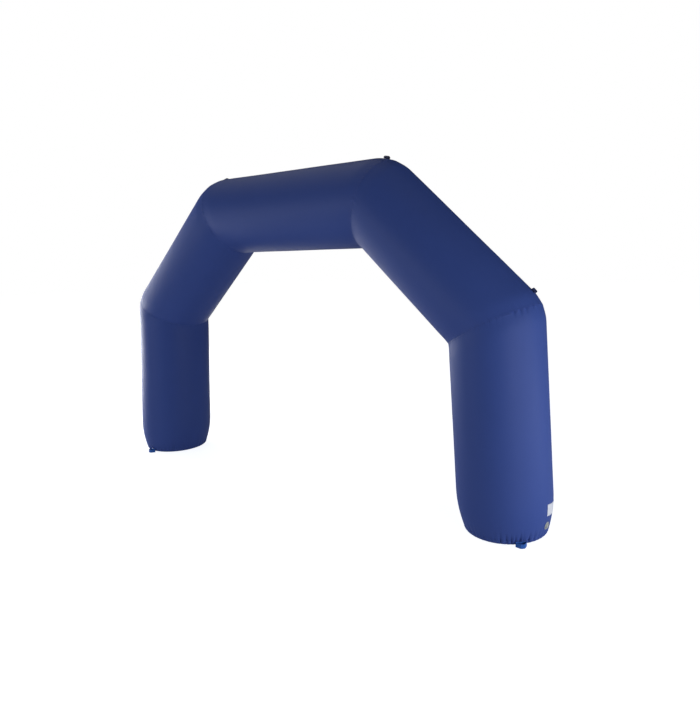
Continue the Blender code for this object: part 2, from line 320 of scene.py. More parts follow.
def crinkle_group():
    """Shallow crinkles, longer one way than the other, from noise on stretched coordinates."""
    tree = bpy.data.node_groups.new("crinkle", "ShaderNodeTree")
    socket(tree, "Vector", "NodeSocketVector")
    socket(tree, "Crinkles per Metre", "NodeSocketFloat", 20.0)
    socket(tree, "Stretch", "NodeSocketFloat", 0.4)
    socket(tree, "Height", "NodeSocketFloat", out=True)
    nodes, links = tree.nodes, tree.links
    given, put = nodes.new("NodeGroupInput"), nodes.new("NodeGroupOutput")
    split, join = nodes.new("ShaderNodeSeparateXYZ"), nodes.new("ShaderNodeCombineXYZ")
    links.new(given.outputs["Vector"], split.inputs[0])
    links.new(maths(tree, "MULTIPLY", split.outputs["X"], given.outputs["Stretch"]), join.inputs["X"])
    links.new(split.outputs["Y"], join.inputs["Y"])
    links.new(split.outputs["Z"], join.inputs["Z"])
    noise = nodes.new("ShaderNodeTexNoise")
    noise.inputs["Detail"].default_value = 3.0
    links.new(join.outputs[0], noise.inputs["Vector"])
    links.new(given.outputs["Crinkles per Metre"], noise.inputs["Scale"])
    links.new(noise.outputs["Fac"], put.inputs["Height"])
    return tree


TONE, CRINKLE = tone_group(), crinkle_group()

# %% [markdown]
# ## Materials
# Coated cloth is dark blue and satin: the coating fills the weave, so it shines softly and shows a pale edge
# where it turns away from the eye. Webbing has no coating: its ribs are coarse, and it is brighter and matt.
# The patch is white coated cloth, the thread is dark blue, and the valve is pale grey moulded plastic. A
# near-black ring in the valve paints the shade in the gap between its collar and plug.

# %% Cloth materials
Weaving = namedtuple("Weaving", "dark light patches pitch weft relief crinkles stretch crinkle_relief rough")
CLOTH_LOOK = Weaving(
    (0.042, 0.079, 0.300), (0.048, 0.089, 0.338), 0.9, 0.0011, 1.0, 0.00003, 9.0, 0.45, 0.0011, 0.50
)
WEBBING_WEAVE = (30.0, 0.0032, 1.6, 0.00045, 90.0, 1.0, 0.0002, 0.55)
PEG_WEBBING_LOOK = Weaving((0.003, 0.085, 0.420), (0.006, 0.125, 0.560), *WEBBING_WEAVE)
GUY_WEBBING_LOOK = Weaving((0.010, 0.020, 0.095), (0.016, 0.030, 0.130), *WEBBING_WEAVE)
PATCH_LOOK = Weaving((0.66, 0.70, 0.81), (0.76, 0.80, 0.90), 14.0, 0.0009, 1.0, 0.00004, 30.0, 1.0, 0.0007, 0.50)
ROUGH_SPREAD = 0.08
CLOTH_SHINE = 0.125


def woven(name, look):
    """A cloth: tone over colour, weave and crinkles as bump, and a roughness that wanders a little."""
    material = bpy.data.materials.new(name)
    material.use_nodes = True
    tree = material.node_tree
    nodes, links = tree.nodes, tree.links
    shader = nodes["Principled BSDF"]
    place = nodes.new("ShaderNodeUVMap")
    place.uv_map = "UVMap"
    tone, weave, crinkle = (nodes.new("ShaderNodeGroup") for _ in range(3))
    tone.node_tree, weave.node_tree, crinkle.node_tree = TONE, WEAVE, CRINKLE
    for group in (tone, weave, crinkle):
        links.new(place.outputs["UV"], group.inputs["Vector"])
    tone.inputs["Dark Color"].default_value = (*look.dark, 1)
    tone.inputs["Light Color"].default_value = (*look.light, 1)
    tone.inputs["Patches per Metre"].default_value = look.patches
    weave.inputs["Thread Pitch"].default_value = look.pitch
    weave.inputs["Weft Share"].default_value = look.weft
    crinkle.inputs["Crinkles per Metre"].default_value = look.crinkles
    crinkle.inputs["Stretch"].default_value = look.stretch
    fine = maths(tree, "MULTIPLY", weave.outputs["Height"], look.relief)
    coarse = maths(tree, "MULTIPLY", crinkle.outputs["Height"], look.crinkle_relief)
    bump = nodes.new("ShaderNodeBump")
    bump.inputs["Distance"].default_value = 1.0
    links.new(maths(tree, "ADD", fine, coarse), bump.inputs["Height"])
    links.new(bump.outputs["Normal"], shader.inputs["Normal"])
    links.new(tone.outputs["Color"], shader.inputs["Base Color"])
    wander = maths(tree, "MULTIPLY_ADD", tone.outputs["Patch"], ROUGH_SPREAD, look.rough - ROUGH_SPREAD / 2)
    links.new(wander, shader.inputs["Roughness"])
    return material


CLOTH = woven("coated_cloth", CLOTH_LOOK)
PEG_WEBBING, GUY_WEBBING = woven("peg_webbing", PEG_WEBBING_LOOK), woven("guy_webbing", GUY_WEBBING_LOOK)
PATCH_CLOTH = woven("patch_cloth", PATCH_LOOK)
CLOTH.node_tree.nodes["Principled BSDF"].inputs["Specular IOR Level"].default_value = CLOTH_SHINE
for webbing in (PEG_WEBBING, GUY_WEBBING):
    webbing.node_tree.nodes["Principled BSDF"].inputs["Sheen Weight"].default_value = 0.1

# %% Thread, plastic and the valve's painted shade


def plain_grained(name, dark, light, rough, grain_per_metre, relief):
    """Thread, moulded plastic or the valve's painted shade: a fine grain in object space over a tone."""
    material = bpy.data.materials.new(name)
    material.use_nodes = True
    tree = material.node_tree
    nodes, links = tree.nodes, tree.links
    shader = nodes["Principled BSDF"]
    place = nodes.new("ShaderNodeTexCoord")
    tone, grain = nodes.new("ShaderNodeGroup"), nodes.new("ShaderNodeGroup")
    tone.node_tree, grain.node_tree = TONE, CRINKLE
    for group in (tone, grain):
        links.new(place.outputs["Object"], group.inputs["Vector"])
    tone.inputs["Dark Color"].default_value = (*dark, 1)
    tone.inputs["Light Color"].default_value = (*light, 1)
    tone.inputs["Patches per Metre"].default_value = grain_per_metre / 8
    grain.inputs["Crinkles per Metre"].default_value = grain_per_metre
    grain.inputs["Stretch"].default_value = 1.0
    bump = nodes.new("ShaderNodeBump")
    bump.inputs["Distance"].default_value = 1.0
    links.new(maths(tree, "MULTIPLY", grain.outputs["Height"], relief), bump.inputs["Height"])
    links.new(bump.outputs["Normal"], shader.inputs["Normal"])
    links.new(tone.outputs["Color"], shader.inputs["Base Color"])
    rough_here = maths(tree, "MULTIPLY_ADD", tone.outputs["Patch"], 0.1, rough - 0.05)
    links.new(rough_here, shader.inputs["Roughness"])
    return material


THREAD = plain_grained("thread", (0.036, 0.068, 0.260), (0.050, 0.092, 0.340), 0.55, 900.0, 0.00006)
WHITE_THREAD = plain_grained("white_thread", (0.55, 0.57, 0.62), (0.66, 0.68, 0.72), 0.6, 900.0, 0.00006)
VALVE_GREY = plain_grained("valve_plastic", (0.34, 0.37, 0.38), (0.44, 0.47, 0.48), 0.42, 700.0, 0.00003)
# Painted shade: a near-black colour for the ring that stands for the shadow in the gap between collar and plug.
VALVE_PAINTED_SHADE = plain_grained("valve_shade_ring", (0.018, 0.019, 0.022), (0.030, 0.031, 0.035), 0.5, 700.0, 0.00003)
print(len(bpy.data.materials), "materials")

# %% [markdown]
# ## Seams and the shape they give the cloth
# A tube of cloth under pressure is round until a seam holds it in. At a mitre the cloth is drawn in a little
# all round. At the outside of the bend the corner turns soft, and at the inside the slack cloth fills the
# corner a little. At the base it is drawn in to a smaller ring. Along each seam the cloth is gathered: sharp
# valleys with round ridges between, each fading away from the seam at its own distance. One record holds all
# of that for a seam.

# %% Seams
SEAM_FIELDS = "point normal draw corner_draw fillet groove reach pleat pleat_reach depths reaches"
Seam = namedtuple("Seam", SEAM_FIELDS)
MITRE_FORM = dict(draw=0.006, corner_draw=0.024, fillet=0.010, reach=0.16, pleat=0.0024, pleat_reach=0.10)
MITRE_GROOVES = (0.0020, 0.0005, 0.0005, 0.0005)
BASE_FORM = dict(
    draw=0.055, corner_draw=0.0, fillet=0.0, groove=0.0012, reach=0.34, pleat=0.009, pleat_reach=0.16
)


def fold_angles():
    """Angles of the ridges and valleys round a tube, from the outside of the bend towards +Y."""
    draw = random.Random(SPACING_SEED)
    step = math.tau / (2 * PLEATS)
    return np.array([step * (k + PLEAT_UNEVENNESS * draw.uniform(-1, 1)) for k in range(2 * PLEATS)])


def fold_depths(seed):
    """How deep each fold lies: nothing on a ridge, and an uneven share of the pleat in a valley."""
    draw = random.Random(seed)
    return np.array([draw.uniform(SHALLOWEST_PLEAT, 1.0) if k % 2 else 0.0 for k in range(2 * PLEATS)])


def fold_reaches(seed):
    """How far each fold runs from the seam, as a share of the longest."""
    return np.random.default_rng(seed).uniform(0.45, 1.0, 2 * PLEATS)


def unit(vector):
    return vector / np.linalg.norm(vector)


def middle_line():
    """The corners of the tube's middle line, from the left foot to the right."""
    right = [(CREST_X, CREST_Z), (SHOULDER_X, SHOULDER_Z), (FOOT_X, 0.0)]
    left = [(-x, z) for x, z in reversed(right)]
    return [np.array((x, 0.0, z)) for x, z in left + right]


def all_seams():
    """The six seams, from the left base to the right one."""
    line = middle_line()
    ends = []
    for corner, shoulder in ((0, 1), (5, 4)):
        climb = unit(line[shoulder] - line[corner])
        point = line[corner] + climb * (BASE_SEAM_HEIGHT / climb[2])
        seed = BASE_SEED + corner
        normal = UP if corner == 0 else -UP
        ends.append(Seam(point, normal, depths=fold_depths(seed), reaches=fold_reaches(seed), **BASE_FORM))
    mitres = []
    for corner in range(1, 5):
        normal = unit(unit(line[corner] - line[corner - 1]) + unit(line[corner + 1] - line[corner]))
        folds = dict(depths=fold_depths(corner), reaches=fold_reaches(corner))
        mitres.append(Seam(line[corner], normal, groove=MITRE_GROOVES[corner - 1], **folds, **MITRE_FORM))
    return [ends[0], *mitres, ends[1]]


SEAMS = all_seams()
FOLD_ANGLES = fold_angles()
TUBES = ("leg_left", "shoulder_left", "crest", "shoulder_right", "leg_right")
print(len(SEAMS), "seams with", PLEATS, "pleats each")

# %% [markdown]
# Some creases are listed one by one, because the eye finds them: the tight gathers over the peg loops, where
# the strap's root holds the cloth, and a few longer troughs that run up the leg. Each is a soft trough with a
# bearing round the tube, a width, a depth and a length.

# %% Creases listed one by one
Crease = namedtuple("Crease", "tube end turn width depth length")
CREASES = (
    Crease("leg_right", "base", -71.0, 1.3, 0.008, 0.070),
    Crease("leg_right", "base", -63.5, 1.4, 0.012, 0.080),
    Crease("leg_right", "base", -57.5, 1.3, 0.013, 0.075),
    Crease("leg_right", "base", -52.0, 1.3, 0.014, 0.080),
    Crease("leg_right", "base", -45.7, 1.6, 0.018, 0.095),
    Crease("leg_right", "base", -33.0, 1.5, 0.012, 0.075),
    Crease("leg_right", "base", -25.0, 1.4, 0.008, 0.060),
    Crease("leg_right", "base", -12.5, 1.5, 0.006, 0.055),
    Crease("leg_right", "base", 122.0, 1.2, 0.008, 0.080),
    Crease("leg_right", "base", 129.5, 1.0, 0.007, 0.060),
    Crease("leg_right", "base", 136.0, 1.5, 0.011, 0.090),
    Crease("leg_right", "base", 143.0, 1.1, 0.007, 0.065),
    Crease("leg_left", "base", 262.0, 1.1, 0.007, 0.070),
    Crease("leg_left", "base", 269.0, 1.5, 0.010, 0.085),
    Crease("leg_left", "base", 277.0, 1.0, 0.006, 0.060),
    Crease("leg_left", "base", 83.0, 1.1, 0.007, 0.065),
    Crease("leg_left", "base", 91.0, 1.5, 0.010, 0.090),
    Crease("leg_left", "base", 98.0, 1.0, 0.006, 0.060),
    Crease("leg_right", "mitre", -42.5, 2.4, 0.008, 0.050),
    Crease("leg_right", "mitre", -33.8, 2.4, 0.009, 0.060),
    Crease("leg_right", "mitre", -24.7, 2.5, 0.009, 0.055),
    Crease("leg_right", "mitre", -14.0, 2.4, 0.006, 0.045),
    Crease("shoulder_right", "lower", -34.0, 2.8, 0.0030, 0.12),
    Crease("shoulder_left", "lower", 205.0, 3.0, 0.0035, 0.13),
    Crease("crest", "first", -152.0, 3.4, 0.0040, 0.16),
    Crease("crest", "last", -158.0, 3.0, 0.0035, 0.14),
)
END_NAMES = {
    ("leg_left", "base"): 0, ("leg_left", "mitre"): 1,
    ("shoulder_left", "lower"): 0, ("shoulder_left", "upper"): 1,
    ("crest", "first"): 0, ("crest", "last"): 1,
    ("shoulder_right", "upper"): 0, ("shoulder_right", "lower"): 1,
    ("leg_right", "mitre"): 0, ("leg_right", "base"): 1,
}


def crease_depth(tube, end, angle, distance):
    """How deep the listed creases lie, at these angles and distances from one end of a tube."""
    total = np.zeros(np.broadcast(angle, distance).shape)
    for crease in CREASES:
        if crease.tube != tube or END_NAMES[(crease.tube, crease.end)] != end:
            continue
        off = np.degrees(angle) - crease.turn
        off = (off + 180.0) % 360.0 - 180.0
        fade = np.clip(1.0 - distance / crease.length, 0.0, 1.0)
        total = total + crease.depth * np.exp(-((off / crease.width) ** 2)) * fade**1.5
    return total


# %% [markdown]
# ## The tube skins
# A tube could be a cylinder with a displacement texture, but its ends are cut on a slant and gathered, so it
# is clearer to work out every point: an angle round the tube and a distance from each of its two seams give
# the radius. Columns run along the folds, so every valley keeps a sharp line, and the rings crowd towards the
# seams, where the cloth changes most.

# %% Working out a tube's points
NEAR_MITRE = (0, .0012, .0026, .005, .008, .0115, .0130, .0142, .018, .024, .032, .042, .054, .068, .084, .10, .12,
              .14, .16, .18, .20)
NEAR_BASE = NEAR_MITRE + (.235, .27, .305, .34, .375, .41)
MIDDLE_STEP = 0.06
GROOVE_WIDTH = 0.0024
HEM_WIDTH, HEM_RISE, HEM_SLOPE = 0.0130, 0.0004, 0.001
STITCH_RINGS = (4,)


def fine_angles():
    """Columns of points: each stretch from ridge to valley is cut into equal steps."""
    closed = np.append(FOLD_ANGLES, FOLD_ANGLES[0] + math.tau)
    steps = np.arange(COLUMNS_PER_FOLD) / COLUMNS_PER_FOLD
    return (closed[:-1, None] + (closed[1:] - closed[:-1])[:, None] * steps).ravel()


ANGLES = fine_angles()
FOLD_OF_COLUMN = np.arange(len(ANGLES)) // COLUMNS_PER_FOLD
STEP_OF_COLUMN = (np.arange(len(ANGLES)) % COLUMNS_PER_FOLD) / COLUMNS_PER_FOLD


def pleat_depth(seam, distance):
    """Depth of the gathers for every column: a valley is a sharp line and a ridge is round."""
    valley = np.where(FOLD_OF_COLUMN % 2, FOLD_OF_COLUMN, FOLD_OF_COLUMN + 1)
    share = np.where(FOLD_OF_COLUMN % 2, 1.0 - STEP_OF_COLUMN, STEP_OF_COLUMN)
    profile = seam.depths[valley] * (1.0 - np.cos(share * math.pi / 2))
    reach = seam.pleat_reach * seam.reaches[valley]
    fade = np.clip(1.0 - distance / reach, 0.0, 1.0)
    return seam.pleat * profile * fade**1.6


def drawn_in(seam, distance):
    """How far the seam pulls the cloth in, gathers left out. A mitre is a soft trough without a ridge."""
    outside, inside = np.clip(np.cos(ANGLES), 0.0, 1.0), np.clip(-np.cos(ANGLES), 0.0, 1.0)
    share = np.clip(distance / seam.reach, 0.0, 1.0)
    pull = (1.0 - share) ** 2
    trough = 0.5 + 0.5 * np.cos(math.pi * share) if seam.corner_draw else pull
    bend = (seam.corner_draw * outside**1.4 - seam.fillet * inside**1.4) * pull
    groove = seam.groove * np.exp(-((distance / GROOVE_WIDTH) ** 2))
    hem = HEM_RISE * np.clip((HEM_WIDTH + HEM_SLOPE - distance) / HEM_SLOPE, 0.0, 1.0)
    return seam.draw * trough + bend + groove - hem


def tube_points(name, first, last, near, far):
    """Every point of a tube, rings by angles, and how far each is from its nearest seam."""
    along = unit(last.point - first.point)
    out = -np.cross(DEPTH, along)
    spokes = np.outer(np.cos(ANGLES), out) + np.outer(np.sin(ANGLES), DEPTH)
    length = np.linalg.norm(last.point - first.point)
    starts = []
    for end, (seam, way) in enumerate(((first, along), (last, -along))):
        rim = TUBE_RADIUS - drawn_in(seam, 0.0) - pleat_depth(seam, 0.0)
        rim = rim - crease_depth(name, end, ANGLES, 0.0)
        starts.append(-(spokes @ seam.normal) * rim / (way @ seam.normal) + HALF_GAP)
    run = length - starts[0] - starts[1]
    middle_rows = int(np.ceil((run.max() - near[-1] - far[-1]) / MIDDLE_STEP))
    rows = [np.full_like(run, d) for d in near]
    for k in range(1, middle_rows):
        rows.append(near[-1] + (run - near[-1] - far[-1]) * k / middle_rows)
    rows += [run - d for d in reversed(far)]
    points, from_seam, station = [], [], []
    for row in rows:
        radius = np.full_like(run, TUBE_RADIUS)
        for end, (seam, distance) in enumerate(((first, row), (last, run - row))):
            radius = radius - drawn_in(seam, distance) - pleat_depth(seam, distance)
            radius = radius - crease_depth(name, end, ANGLES, distance)
        at = starts[0] + row
        points.append(first.point + spokes * radius[:, None] + at[:, None] * along)
        from_seam.append(np.minimum(row, run - row))
        station.append(at)
    return np.array(points), np.array(from_seam), np.array(station)


# %% [markdown]
# The points become a closed mesh: quads between the rings, and a flat end where the tube meets its neighbour,
# which nobody sees. The UV map holds real metres, round the tube and along it, so the weave follows the cloth.

# %% From points to a mesh


def ring_mesh(name, points, from_seam, station):
    """A closed mesh through rings of points, with a UV map in metres and the distance to the nearest seam."""
    rings, columns = points.shape[:2]
    quads, places = [], []
    around = np.append(ANGLES, ANGLES[0] + math.tau) * TUBE_RADIUS
    for i in range(rings - 1):
        for j in range(columns):
            after = (j + 1) % columns
            here, above = i * columns, (i + 1) * columns
            quads.append((here + j, here + after, above + after, above + j))
            low, high = station[i][j], station[i + 1][j]
            low_after, high_after = station[i][after], station[i + 1][after]
            places += [around[j], low, around[j + 1], low_after, around[j + 1], high_after, around[j], high]
    first_end = tuple(reversed(range(columns)))
    last_end = tuple((rings - 1) * columns + j for j in range(columns))
    for end in (first_end, last_end):
        quads.append(end)
        places += [0.0] * (2 * columns)
    mesh = bpy.data.meshes.new(name)
    mesh.from_pydata(points.reshape(-1, 3).tolist(), [], quads)
    layer = mesh.uv_layers.new(name="UVMap")
    layer.data.foreach_set("uv", np.array(places, dtype=np.float32))
    held = mesh.attributes.new("seam_distance", "FLOAT", "POINT")
    held.data.foreach_set("value", from_seam.ravel().astype(np.float32))
    round_it = mesh.attributes.new("around", "FLOAT", "POINT")
    round_it.data.foreach_set("value", np.tile(ANGLES * TUBE_RADIUS, rings).astype(np.float32))
    return mesh


def link(name, mesh, material):
    """Puts a mesh in the scene at the origin, smooth and with its finish."""
    mesh.shade_smooth()
    piece = bpy.data.objects.new(name, mesh)
    mesh.materials.clear()
    mesh.materials.append(material)
    scene.collection.objects.link(piece)
    return piece


def signed_volume(mesh):
    """Positive when a closed mesh's faces point out."""
    mesh.calc_loop_triangles()
    co = np.array([v.co for v in mesh.vertices])
    tri = np.array([t.vertices for t in mesh.loop_triangles])
    a, b, c = co[tri[:, 0]], co[tri[:, 1]], co[tri[:, 2]]
    return float(np.einsum("ij,ij->i", a, np.cross(b, c)).sum() / 6)


# %% [markdown]
# ## Needle puckers and slow waves, by Geometry Nodes
# A needle draws the cloth into small puckers right beside the seam, and a large panel is never quite even.
# Both follow a rule over the whole surface, so a Geometry Nodes tree moves the points along their normals. Its
# inputs are the sizes of the effect. The seam's distance comes from the attribute stored on the mesh.

# %% The pucker tree


def pucker_tree():
    tree = bpy.data.node_groups.new("needle_puckers", "GeometryNodeTree")
    socket(tree, "Geometry", "NodeSocketGeometry")
    socket(tree, "Pucker Depth", "NodeSocketFloat", 0.0009)
    socket(tree, "Pucker Pitch", "NodeSocketFloat", 0.021)
    socket(tree, "Pucker Reach", "NodeSocketFloat", 0.030)
    socket(tree, "Wave Depth", "NodeSocketFloat", 0.002)
    socket(tree, "Waves per Metre", "NodeSocketFloat", 1.6)
    socket(tree, "Seed", "NodeSocketFloat", 0.0)
    socket(tree, "Material", "NodeSocketMaterial")
    socket(tree, "Geometry", "NodeSocketGeometry", out=True)
    nodes, links = tree.nodes, tree.links
    given, put = nodes.new("NodeGroupInput"), nodes.new("NodeGroupOutput")
    held = {}
    for name in ("seam_distance", "around"):
        node = nodes.new("GeometryNodeInputNamedAttribute")
        node.data_type = "FLOAT"
        node.inputs["Name"].default_value = name
        held[name] = node.outputs["Attribute"]
    where = nodes.new("GeometryNodeInputPosition")
    wobble, wave = nodes.new("ShaderNodeTexNoise"), nodes.new("ShaderNodeTexNoise")
    for noise, scale in ((wobble, 14.0), (wave, None)):
        noise.noise_dimensions = "4D"
        noise.inputs["Detail"].default_value = 1.0
        links.new(where.outputs[0], noise.inputs["Vector"])
        links.new(given.outputs["Seed"], noise.inputs["W"])
        if scale:
            noise.inputs["Scale"].default_value = scale
    links.new(given.outputs["Waves per Metre"], wave.inputs["Scale"])
    around = maths(tree, "MULTIPLY", held["around"], math.tau)
    turns = maths(tree, "DIVIDE", around, given.outputs["Pucker Pitch"])
    phase = maths(tree, "MULTIPLY_ADD", wobble.outputs["Fac"], 9.0, turns)
    nearness = maths(tree, "DIVIDE", held["seam_distance"], given.outputs["Pucker Reach"])
    fade = maths(tree, "EXPONENT", maths(tree, "MULTIPLY", nearness, -1.0))
    ripple = maths(tree, "MULTIPLY", maths(tree, "SINE", phase), given.outputs["Pucker Depth"])
    pucker = maths(tree, "MULTIPLY", ripple, fade)
    swing = maths(tree, "MULTIPLY_ADD", wave.outputs["Fac"], 2.0, -1.0)
    free = maths(tree, "MULTIPLY", held["seam_distance"], 5.0, clamp=True)
    slow = maths(tree, "MULTIPLY", maths(tree, "MULTIPLY", swing, given.outputs["Wave Depth"]), free)
    normal = nodes.new("GeometryNodeInputNormal")
    scaled = nodes.new("ShaderNodeVectorMath")
    scaled.operation = "SCALE"
    links.new(normal.outputs[0], scaled.inputs[0])
    links.new(maths(tree, "ADD", pucker, slow), scaled.inputs["Scale"])
    moved = nodes.new("GeometryNodeSetPosition")
    links.new(given.outputs["Geometry"], moved.inputs["Geometry"])
    links.new(scaled.outputs[0], moved.inputs["Offset"])
    real, dressed = nodes.new("GeometryNodeRealizeInstances"), nodes.new("GeometryNodeSetMaterial")
    links.new(moved.outputs[0], real.inputs[0])
    links.new(real.outputs[0], dressed.inputs["Geometry"])
    links.new(given.outputs["Material"], dressed.inputs["Material"])
    links.new(dressed.outputs[0], put.inputs[0])
    return tree


PUCKERS = pucker_tree()

# %% Turning a node tree's result into a plain mesh


def grown(name, mesh, tree, material, **values):
    """Runs a Geometry Nodes tree on a mesh and links the plain result as a piece at the origin."""
    carrier = bpy.data.objects.new(name + "_carrier", mesh)
    scene.collection.objects.link(carrier)
    modifier = carrier.modifiers.new("grow", "NODES")
    modifier.node_group = tree
    names = {item.name: item.identifier for item in tree.interface.items_tree if item.in_out == "INPUT"}
    for key, value in {**values, "Material": material}.items():
        modifier[names[key]] = value
    graph = bpy.context.evaluated_depsgraph_get()
    made = bpy.data.meshes.new_from_object(carrier.evaluated_get(graph), depsgraph=graph)
    bpy.data.objects.remove(carrier)
    made.name = name
    piece = bpy.data.objects.new(name, made)
    scene.collection.objects.link(piece)
    made.shade_smooth()
    return piece


# %% [markdown]
# Now the five tubes are cut, gathered and blown up. Each stands for its solid.

# %% The five tubes
PUCKER_DEPTH = 0.0008
WAVE_DEPTH = 0.0026
skins = {}
for k, name in enumerate(TUBES):
    near = NEAR_BASE if name == "leg_left" else NEAR_MITRE
    far = NEAR_BASE if name == "leg_right" else NEAR_MITRE
    mesh = ring_mesh(name + "_skin", *tube_points(name, SEAMS[k], SEAMS[k + 1], near, far))
    if signed_volume(mesh) < 0:
        mesh.flip_normals()
    sizes = {"Pucker Depth": PUCKER_DEPTH, "Wave Depth": WAVE_DEPTH, "Seed": float(k)}
    skins[name] = grown(name + "_skin", mesh, PUCKERS, CLOTH, **sizes)
    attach(skins[name], "root")
    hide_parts(name)
    print(name, len(skins[name].data.polygons), "faces, volume", round(signed_volume(skins[name].data), 3))

# %% [markdown]
# ## Base panels
# A round panel closes each leg. It is sewn to the leg's ring, bulges a little below the seam, and lies flat on
# the ground inside that. It shares the leg's gathers, which fade towards its middle.

# %% The two base panels
BASE_PROFILE = ((0.0447, 0.0, 1.0), (0.043, 0.0012, 1.0), (0.040, 0.0005, 0.95), (0.034, 0.0008, 0.85),
                (0.026, 0.0035, 0.7), (0.018, 0.009, 0.5), (0.011, 0.017, 0.35), (0.005, 0.028, 0.2),
                (0.0015, 0.039, 0.08), (0.0, 0.050, 0.0))


def base_points(name, end, seam):
    """Rings of the base panel, from the seam down to the flat disc."""
    side = math.copysign(1.0, seam.point[0])
    rings, from_seam, station = [], [], []
    for height, inset, share in BASE_PROFILE:
        folds = pleat_depth(seam, 0.0) + crease_depth(name, end, ANGLES, 0.0)
        radius = TUBE_RADIUS - drawn_in(seam, 0.0) - folds * share - inset + seam.groove * (1.0 - share)
        x = seam.point[0] + side * radius * np.cos(ANGLES)
        rings.append(np.stack((x, radius * np.sin(ANGLES), np.full_like(x, height)), axis=1))
        from_seam.append(np.full_like(x, 0.5))
        station.append(np.full_like(x, height))
    return np.array(rings), np.array(from_seam), np.array(station)


PANEL_STITCH_RING = 3
panels = []
PANEL_ROWS = (("base_panel_left", "leg_left", 0, SEAMS[0]), ("base_panel_right", "leg_right", 1, SEAMS[5]))
for name, tube, end, seam in PANEL_ROWS:
    mesh = ring_mesh(name + "_skin", *base_points(tube, end, seam))
    if signed_volume(mesh) < 0:
        mesh.flip_normals()
    panel = link(name + "_skin", mesh, CLOTH)
    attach(panel, "root")
    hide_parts(name)
    panels.append(panel)
    print(name, len(mesh.polygons), "faces")

# %% [markdown]
# ## Sewing thread, by Geometry Nodes
# Every seam on the real arch is top-stitched on both sides. A stitch is far too small to place by hand, and it
# follows a path, so a Geometry Nodes tree does it: the path is cut at the stitch pitch, a small spindle goes
# on each point, and it is turned along the path and out of the cloth. The cloth's direction is read from an
# attribute on the path, and a fixed seed turns each stitch a little, as a machine does.

# %% What the stitch and rib trees share


def out_attribute(tree):
    """The way out of the cloth, stored on each point."""
    node = tree.nodes.new("GeometryNodeInputNamedAttribute")
    node.data_type = "FLOAT_VECTOR"
    node.inputs["Name"].default_value = "out"
    return node.outputs["Attribute"]


def end_tree(tree, given, put, instances):
    """Makes instances real and gives them the material."""
    nodes, links = tree.nodes, tree.links
    real, dressed = nodes.new("GeometryNodeRealizeInstances"), nodes.new("GeometryNodeSetMaterial")
    links.new(instances.outputs[0], real.inputs[0])
    links.new(real.outputs[0], dressed.inputs["Geometry"])
    links.new(given.outputs["Material"], dressed.inputs["Material"])
    links.new(dressed.outputs[0], put.inputs[0])


# %% The stitch tree


def stitch_tree():
    tree = bpy.data.node_groups.new("stitches", "GeometryNodeTree")
    socket(tree, "Geometry", "NodeSocketGeometry")
    socket(tree, "Stitch Pitch", "NodeSocketFloat", 0.0065)
    socket(tree, "Stitch Length", "NodeSocketFloat", 0.0046)
    socket(tree, "Thread Width", "NodeSocketFloat", 0.0011)
    socket(tree, "Seed", "NodeSocketInt", 0)
    socket(tree, "Material", "NodeSocketMaterial")
    socket(tree, "Geometry", "NodeSocketGeometry", out=True)
    nodes, links = tree.nodes, tree.links
    given, put = nodes.new("NodeGroupInput"), nodes.new("NodeGroupOutput")
    path, cut = nodes.new("GeometryNodeMeshToCurve"), nodes.new("GeometryNodeResampleCurve")
    cut.mode = "LENGTH"
    links.new(given.outputs["Geometry"], path.inputs["Mesh"])
    links.new(path.outputs["Curve"], cut.inputs["Curve"])
    links.new(given.outputs["Stitch Pitch"], cut.inputs["Length"])
    out = out_attribute(tree)
    tangent = nodes.new("GeometryNodeInputTangent")
    upright, turned = (nodes.new("FunctionNodeAlignRotationToVector") for _ in range(2))
    upright.axis, turned.axis, turned.pivot_axis = "Z", "X", "Z"
    links.new(out, upright.inputs["Vector"])
    links.new(upright.outputs[0], turned.inputs["Rotation"])
    links.new(tangent.outputs[0], turned.inputs["Vector"])
    jitter = nodes.new("FunctionNodeRandomValue")
    jitter.data_type = "FLOAT_VECTOR"
    jitter.inputs["Min"].default_value = (-0.03, -0.05, -0.10)
    jitter.inputs["Max"].default_value = (0.03, 0.05, 0.10)
    links.new(given.outputs["Seed"], jitter.inputs["Seed"])
    as_turn, both = nodes.new("FunctionNodeEulerToRotation"), nodes.new("FunctionNodeRotateRotation")
    both.rotation_space = "LOCAL"
    links.new(jitter.outputs[0], as_turn.inputs[0])
    links.new(turned.outputs[0], both.inputs["Rotation"])
    links.new(as_turn.outputs[0], both.inputs["Rotate By"])
    bead = nodes.new("GeometryNodeMeshIcoSphere")
    bead.inputs["Radius"].default_value = 0.5
    bead.inputs["Subdivisions"].default_value = 1
    size = nodes.new("ShaderNodeCombineXYZ")
    links.new(given.outputs["Stitch Length"], size.inputs["X"])
    links.new(given.outputs["Thread Width"], size.inputs["Y"])
    links.new(given.outputs["Thread Width"], size.inputs["Z"])
    lay = nodes.new("GeometryNodeInstanceOnPoints")
    links.new(cut.outputs["Curve"], lay.inputs["Points"])
    links.new(bead.outputs["Mesh"], lay.inputs["Instance"])
    links.new(both.outputs[0], lay.inputs["Rotation"])
    links.new(size.outputs[0], lay.inputs["Scale"])
    end_tree(tree, given, put, lay)
    return tree


STITCHES = stitch_tree()

# %% Paths for the thread


def path_mesh(name, paths):
    """A wire mesh of paths. Each path is a list of places and ways out, and whether it closes."""
    places, outs, edges = [], [], []
    for points, ways, closed in paths:
        start = len(places)
        places += [tuple(p) for p in points]
        outs += [tuple(w) for w in ways]
        edges += [(start + k, start + k + 1) for k in range(len(points) - 1)]
        if closed:
            edges.append((start + len(points) - 1, start))
    mesh = bpy.data.meshes.new(name + "_paths")
    mesh.from_pydata(places, edges, [])
    out = mesh.attributes.new("out", "FLOAT_VECTOR", "POINT")
    out.data.foreach_set("vector", np.array(outs, dtype=np.float32).ravel())
    return mesh


